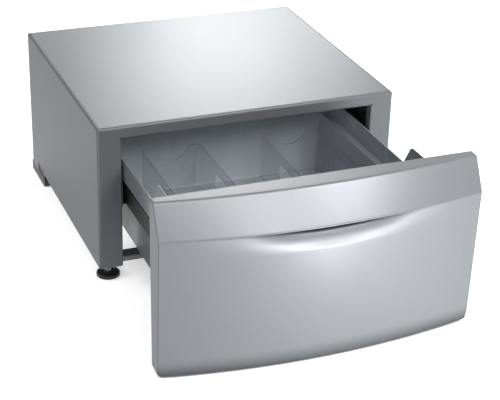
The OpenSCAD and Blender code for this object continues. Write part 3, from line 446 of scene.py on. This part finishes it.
# Smooth step of x, 0 before a and 1 after b
def smooth(x, a, b):
    s = np.clip((x - a) / (b - a), 0, 1)
    return s * s * (3 - 2 * s)


# count points from a up to but not at b
def straight(a, b, count):
    s = np.linspace(0, 1, count, endpoint=False)[:, None, None]
    return a + (b - a) * s


# A rounded corner: the quadratic curve (1-s)^2 a + 2s(1-s) at + s^2 b, from cut before the corner to
# cut past it
def corner(before, at, after, cut, count):
    def step(p):
        d = p - at
        return at + d / np.linalg.norm(d, axis=1, keepdims=True) * cut
    a, b = step(before), step(after)
    s = np.linspace(0, 1, count, endpoint=False)[:, None, None]
    return (1 - s) ** 2 * a + 2 * s * (1 - s) * at + s * s * b, a, b


# One row of section points, [thickness, height] for each column
def pair(t, z):
    return np.stack([t + 0 * z, z + 0 * t], 1)


# The section of the front at every x, as (points, columns, [thickness, height]). Each thickness is an
# arc, m - r + sqrt(r^2 - x^2), with r = (h^2 + (m - e)^2) / (2 (m - e)) for half width h, thickness m at
# the middle and e at the ends. In the scoop, height rises by s from 0 to 1 and the surface lies
# D (k s + (1 - k) s^n) behind the face, where k is rampShare, w = exp(-(x / spread)^2), D = depth w +
# the wings' depth, which fades out between wingEnds, and n goes by w from the first power to the second.
def frontSection(x, p):
    def thickness(key):
        m, e = p["middle"][key], p["ends"][key]
        r = (p["halfWidth"] ** 2 + (m - e) ** 2) / (2 * (m - e))
        return m - r + np.sqrt(r * r - x * x)
    tTop, tCrease, tBottom = thickness("top"), thickness("crease"), thickness("bottom")
    count = p["rows"]
    one = np.ones_like(x)
    low, under = p["lower"] * one, (p["crease"] - p["lip"]) * one
    middle = np.exp(-(x / p["scoopSpread"]) ** 2)
    wing = p["wingDepth"] * (1 - smooth(np.abs(x), *p["wingEnds"]))
    depth = np.maximum(p["scoopDepth"] * middle + wing, p["leastDepth"])
    power = p["rampPower"][0] * middle + p["rampPower"][1] * (1 - middle)

    def face(z):
        return tBottom + (tCrease - tBottom) * (z - p["bottom"]) / (under - p["bottom"])
    s = np.linspace(0, 1, count["scoop"])[:, None]
    rise = low + (under - low) * s
    ramp = p["rampShare"] * s + (1 - p["rampShare"]) * s ** power
    bowl = np.stack([face(rise) - depth * ramp, rise], 2)
    lowCorner, rearTop, lipEdge = pair(face(low), low), bowl[-1], pair(tCrease, under)
    bottomBack, bottomFront = pair(0 * x, p["bottom"] * one), pair(tBottom, p["bottom"] * one)
    topFront, topBack = pair(tTop, p["top"] * one), pair(0 * x, p["top"] * one)
    creaseTop = pair(tCrease - p["creaseStep"][0], (p["crease"] + p["creaseStep"][1]) * one)
    plain = np.ones((len(x), 1))
    rearCut = np.minimum(p["rearRound"], depth * p["rearShare"])[:, None]
    lipCut = np.minimum(p["creaseRound"], depth * p["lipShare"])[:, None]
    skip = count["skip"]                                         # rows of the bowl that the low bend takes

    bottomBend, a, b = corner(bottomBack, bottomFront, lowCorner, p["bottomRound"], count["bend"])
    rows = [straight(bottomBack, a, count["bottom"]), bottomBend]
    lowBend, a, c = corner(bottomFront, lowCorner, bowl[skip - 1], p["lowerRound"] * plain, count["bend"])
    rows += [straight(b, a, count["face"]), lowBend, straight(c, bowl[skip], count["step"]), bowl[skip:-1]]
    rearBend, a, b = corner(bowl[-2], rearTop, lipEdge, rearCut, count["rear"])
    lipBend, c, d = corner(rearTop, lipEdge, creaseTop, lipCut, count["rear"])
    rows += [rearBend, straight(b, c, count["lip"]), lipBend]
    creaseBend, a, b = corner(d, creaseTop, topFront, p["bandRound"] * plain, count["crease"])
    topBend, c, e = corner(creaseTop, topFront, topBack, p["topRound"], count["topBend"])
    rows += [straight(d, a, count["step"]), creaseBend, straight(b, c, count["band"]), topBend,
             straight(e, topBack, count["top"]), topBack[None]]
    return np.concatenate(rows, 0)


# Which way each point of the section moves in as the end edges round off: up from the bottom, back from
# the face and the sloped band, and down from the top, blended over height and thickness
def insetWays(section, p):
    t, z = section[..., 0], section[..., 1]
    blend, inset = p["blend"], p["inset"]
    up = smooth(z, p["top"] - blend["top"][0], p["top"] - blend["top"][1])
    down = 1 - smooth(z, p["bottom"] + blend["bottom"][0], p["bottom"] + blend["bottom"][1])
    band = smooth(z, p["crease"] - blend["band"][0], p["crease"] + blend["band"][1])
    nz = band * inset["band"] * (1 - up) + up * inset["ends"] - down * inset["ends"]
    skin = np.where(t > np.max(t, 0) * inset["skin"], 1.0, 0.0)
    nt = skin * (1 - inset["bandLess"] * band) * smooth(t, 0.0, blend["back"])
    return np.stack([nt, nz], -1)


# The front as one grid of section by column. The end columns follow a quarter circle: x = h - r + r sin
# and the section drawn in by r (1 - cos). Corners seen from the front draw the sides in by
# c - sqrt(c^2 - q^2), c being the radius and q the way into the corner. The back has a rim and a shallow
# recess for the backing plate.
def buildFront(p):
    h, r = p["halfWidth"], p["endRound"]
    angle = np.linspace(0, math.pi / 2, p["endColumns"] + 1)[1:]
    flat = np.linspace(-(h - r), h - r, p["columns"] + 1)
    x = np.concatenate([-(h - r) - r * np.sin(angle[::-1]), flat, (h - r) + r * np.sin(angle)])
    drop = np.concatenate([r * (1 - np.cos(angle[::-1])), 0 * flat, r * (1 - np.cos(angle))])
    section = frontSection(np.clip(x, -(h - r), h - r), p)
    section = section - insetWays(section, p) * drop[None, :, None]
    t, z = section[..., 0], section[..., 1]
    c, k = p["cornerRound"], p["topCorner"]                      # corner radii seen from the front
    q = np.clip(c - (z - p["bottom"]), 0, c)
    w = np.clip(k - (p["top"] - z), 0, k)
    shrink = c - np.sqrt(c * c - q * q) + k - np.sqrt(k * k - w * w)
    px = x[None, :] * (1 - shrink / h)
    n, m = t.shape
    grid = np.stack([px, p["back"] - t, z], -1).reshape(-1, 3)
    index = np.arange(n * m).reshape(n, m)
    quads = np.stack([index[:-1, :-1], index[:-1, 1:], index[1:, 1:], index[1:, :-1]], -1).reshape(-1, 4)
    loop = np.concatenate([index[0, :], index[-1, ::-1]])
    outer = grid[loop]
    centre = np.array([0, p["back"], (p["bottom"] + p["top"]) / 2])
    size = np.abs(outer - centre).max(0)
    inner = centre + (outer - centre) * np.array([1 - p["rim"] / size[0], 1, 1 - p["rim"] / size[2]])
    inner[:, 1] = p["back"]
    deep = inner + np.array([0, -p["recess"], 0])
    count = len(loop)
    ringA = np.arange(len(grid), len(grid) + count)
    ringB = ringA + count
    after = np.roll(np.arange(count), -1)
    rimQuads = np.stack([loop[after], loop, ringA, ringA[after]], -1)
    wallQuads = np.stack([ringA[after], ringA, ringB, ringB[after]], -1)
    faces = np.concatenate([quads, rimQuads, wallQuads]).tolist()
    faces += [index[::-1, 0].tolist(), index[:, -1].tolist(), ringB[::-1].tolist()]
    points = np.concatenate([grid, inner, deep], 0) * mm
    me = bpy.data.meshes.new("drawerFrontShell")
    me.from_pydata(points.tolist(), [], faces)
    me.validate()
    me.polygons.foreach_set("use_smooth", np.ones(len(me.polygons), bool))
    me.set_sharp_from_angle(angle=math.radians(p["sharpAngle"]))
    me.update()
    ob = bpy.data.objects.new("drawerFrontShell", me)
    bpy.context.scene.collection.objects.link(ob)
    me.materials.append(finishes["frontPaint"])
    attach(ob, "drawer")
    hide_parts("drawer_front")
    return ob


frontShell = buildFront(front)
print("drawer front made:", len(frontShell.data.polygons), "faces")


# The direction (sin a cos e, -cos a cos e, sin e) of azimuth a and elevation e, in degrees
def direction(azimuth, elevation):
    a, e = math.radians(azimuth), math.radians(elevation)
    return Vector((math.sin(a) * math.cos(e), -math.cos(a) * math.cos(e), math.sin(e)))


# about + distance * direction, to the millimetre
def orbit(azimuth, elevation, distance, about=(0, -0.2, 0.25)):
    place = Vector(about) + distance * direction(azimuth, elevation)
    return tuple(round(c, 3) for c in place)


# Each lamp has a name, a place, a point it looks at, a width and height in metres, and its watts
studio = {
    "floorColor": (0.92, 0.92, 0.92), "floorRough": 0.9, "floorHalf": 8, "floorGlow": 0.9,
    "shadeReach": 0.15, "shadeRange": (0.1, 0.5), "worldLight": (0.0, 0.0, 0.0),
    "lamps": [
        ("rearLamp", (0.6, 1.75, 0.95), (0.1, 0.3, 0.365), (0.5, 0.4), 0.4),
        ("deckLamp", (0.62, 1.39, 0.9), (0.1, 0.12, 0.365), (0.7, 0.6), 5.5),
        ("frontDeckLamp", (0.3, 1.18, 0.9), (-0.12, -0.02, 0.365), (0.6, 0.4), 3),
        ("leftLamp", orbit(-15, 40, 2.8), (0, -0.4, 0.3), (0.9, 0.9), 11.2),
        ("bandLamp", orbit(28, 40, 1.8), (0, -0.5, 0.3), (0.25, 0.6), 9.5),
        ("frontLamp", orbit(10, 38, 1.9, (0, -0.5, 0.3)), (0, -0.5, 0.3), (0.3, 0.5), 6),
        ("wideCard", (0.38, -1.38, 0.02), (0.05, -0.53, 0.6), (0.65, 0.2), 0.8),
        ("rightCard", (0.68, -1.3, 0.02), (0.2, -0.52, 0.6), (0.25, 0.25), 1.8),
        ("midCard", (0.3, -1.15, 0.02), (0.05, -0.53, 0.6), (0.45, 0.2), 0.6),
        ("leftCard", (0.14, -1.38, 0.02), (-0.1, -0.53, 0.6), (0.3, 0.2), 2.8),
        ("closeCard", (0.16, -0.9, 0.02), (0.02, -0.52, 0.3), (0.12, 0.16), 0.3),
        ("nearCard", (0.1, -0.92, 0.02), (0.0, -0.52, 0.28), (0.2, 0.25), 0.4),
        ("floorCard", (0.27, -1.02, 0.02), (0.06, -0.52, 0.28), (0.25, 0.3), 1.5),
        ("lowLeftLamp", orbit(-50, 10, 2.6), (0, -0.4, 0.2), (0.9, 0.9), 3.2),
        ("rightFill", orbit(112, 24, 2.6), (0, 0, 0.2), (0.9, 0.9), 20),
        ("rearFill", (0.45, 2.54, 0.36), (0, 0.1, 0.2), (0.9, 0.9), 8)]}


# Shows the white shader to the camera, to gloss and to glass, and the plain one to the light that falls
# on things
def rayMix(t, plain, white, out):
    path = addNode(t, "ShaderNodeLightPath", (-600, 400)).outputs
    bent = mathNode(t, "MAXIMUM", path["Is Glossy Ray"], path["Is Transmission Ray"], (-400, 300))
    seen = mathNode(t, "MAXIMUM", path["Is Camera Ray"], bent, (-200, 400))
    mix = addNode(t, "ShaderNodeMixShader", (100, 100))
    t.links.new(seen, mix.inputs[0])
    t.links.new(plain, mix.inputs[1])
    t.links.new(white, mix.inputs[2])
    t.links.new(mix.outputs[0], out)


# A pale floor that also glows by floorGlow times its share of open sky, read between the two values of
# shadeRange; a world that looks white and lights by worldLight; and the lamps, each turned to its aim
def buildStudio(p):
    me = bpy.data.meshes.new("studioFloor")
    h = p["floorHalf"]
    me.from_pydata([(-h, -h, 0), (h, -h, 0), (h, h, 0), (-h, h, 0)], [], [(0, 1, 2, 3)])
    floor = bpy.data.objects.new("studioFloor", me)
    bpy.context.scene.collection.objects.link(floor)
    m, t, b, place = startMaterial("paleFloor", p["floorColor"], p["floorRough"], Specular_IOR_Level=0.0)
    cover = addNode(t, "ShaderNodeAmbientOcclusion", (-700, -200), samples=shadeSamples,
                    Distance=p["shadeReach"])
    glow = addNode(t, "ShaderNodeEmission", (-300, -200), Color=(1, 1, 1, 1))
    fade = addNode(t, "ShaderNodeMapRange", (-500, -200), From_Min=p["shadeRange"][0],
                   From_Max=p["shadeRange"][1], To_Max=p["floorGlow"])
    t.links.new(cover.outputs["AO"], fade.inputs["Value"])
    t.links.new(fade.outputs[0], glow.inputs["Strength"])
    both = addNode(t, "ShaderNodeAddShader", (-100, -100))
    t.links.new(b.outputs[0], both.inputs[0])
    t.links.new(glow.outputs[0], both.inputs[1])
    rayMix(t, b.outputs[0], both.outputs[0], t.nodes["Material Output"].inputs["Surface"])
    me.materials.append(m)

    world = bpy.data.worlds.new("studioWorld")
    bpy.context.scene.world = world
    world.use_nodes = True
    w = world.node_tree
    light = w.nodes["Background"]
    light.inputs["Color"].default_value = (*p["worldLight"], 1.0)
    white = addNode(w, "ShaderNodeBackground", (0, -200), Color=(1, 1, 1, 1), Strength=1.0)
    rayMix(w, light.outputs[0], white.outputs[0], w.nodes["World Output"].inputs["Surface"])

    for name, at, aim, size, watts in p["lamps"]:
        data = bpy.data.lights.new(name, "AREA")
        data.shape = "RECTANGLE"
        data.size, data.size_y = size
        data.energy = watts
        ob = bpy.data.objects.new(name, data)
        bpy.context.scene.collection.objects.link(ob)
        ob.visible_camera = False
        ob.location = at
        way = Vector(aim) - Vector(at)
        ob.rotation_euler = way.to_track_quat("-Z", "Y").to_euler()


buildStudio(studio)

view = {"at": (-1.0560, -2.6987, 1.5622), "azimuth": -22.107, "elevation": 26.651, "roll": 1.638,
        "lens": 101.98, "sensor": 36.0, "reach": 50}


# The camera looks against the direction of its azimuth and elevation, and its right and up are turned
# by roll k about it: side = cos k right + sin k up, rise = -sin k right + cos k up
def buildCamera(p):
    k = math.radians(p["roll"])
    back = direction(p["azimuth"], p["elevation"])
    right = (-back).cross(Vector((0, 0, 1))).normalized()
    up = right.cross(-back)
    side = math.cos(k) * right + math.sin(k) * up
    rise = -math.sin(k) * right + math.cos(k) * up
    data = bpy.data.cameras.new("photoCamera")
    data.lens, data.sensor_width, data.sensor_fit = p["lens"], p["sensor"], "HORIZONTAL"
    data.clip_end = p["reach"]
    ob = bpy.data.objects.new("photoCamera", data)
    bpy.context.scene.collection.objects.link(ob)
    ob.matrix_world = Matrix.Translation(p["at"]) @ Matrix((side, rise, back)).transposed().to_4x4()
    bpy.context.scene.camera = ob


buildCamera(view)
bpy.context.scene.view_settings.view_transform = "Standard"
print("studio and camera set")
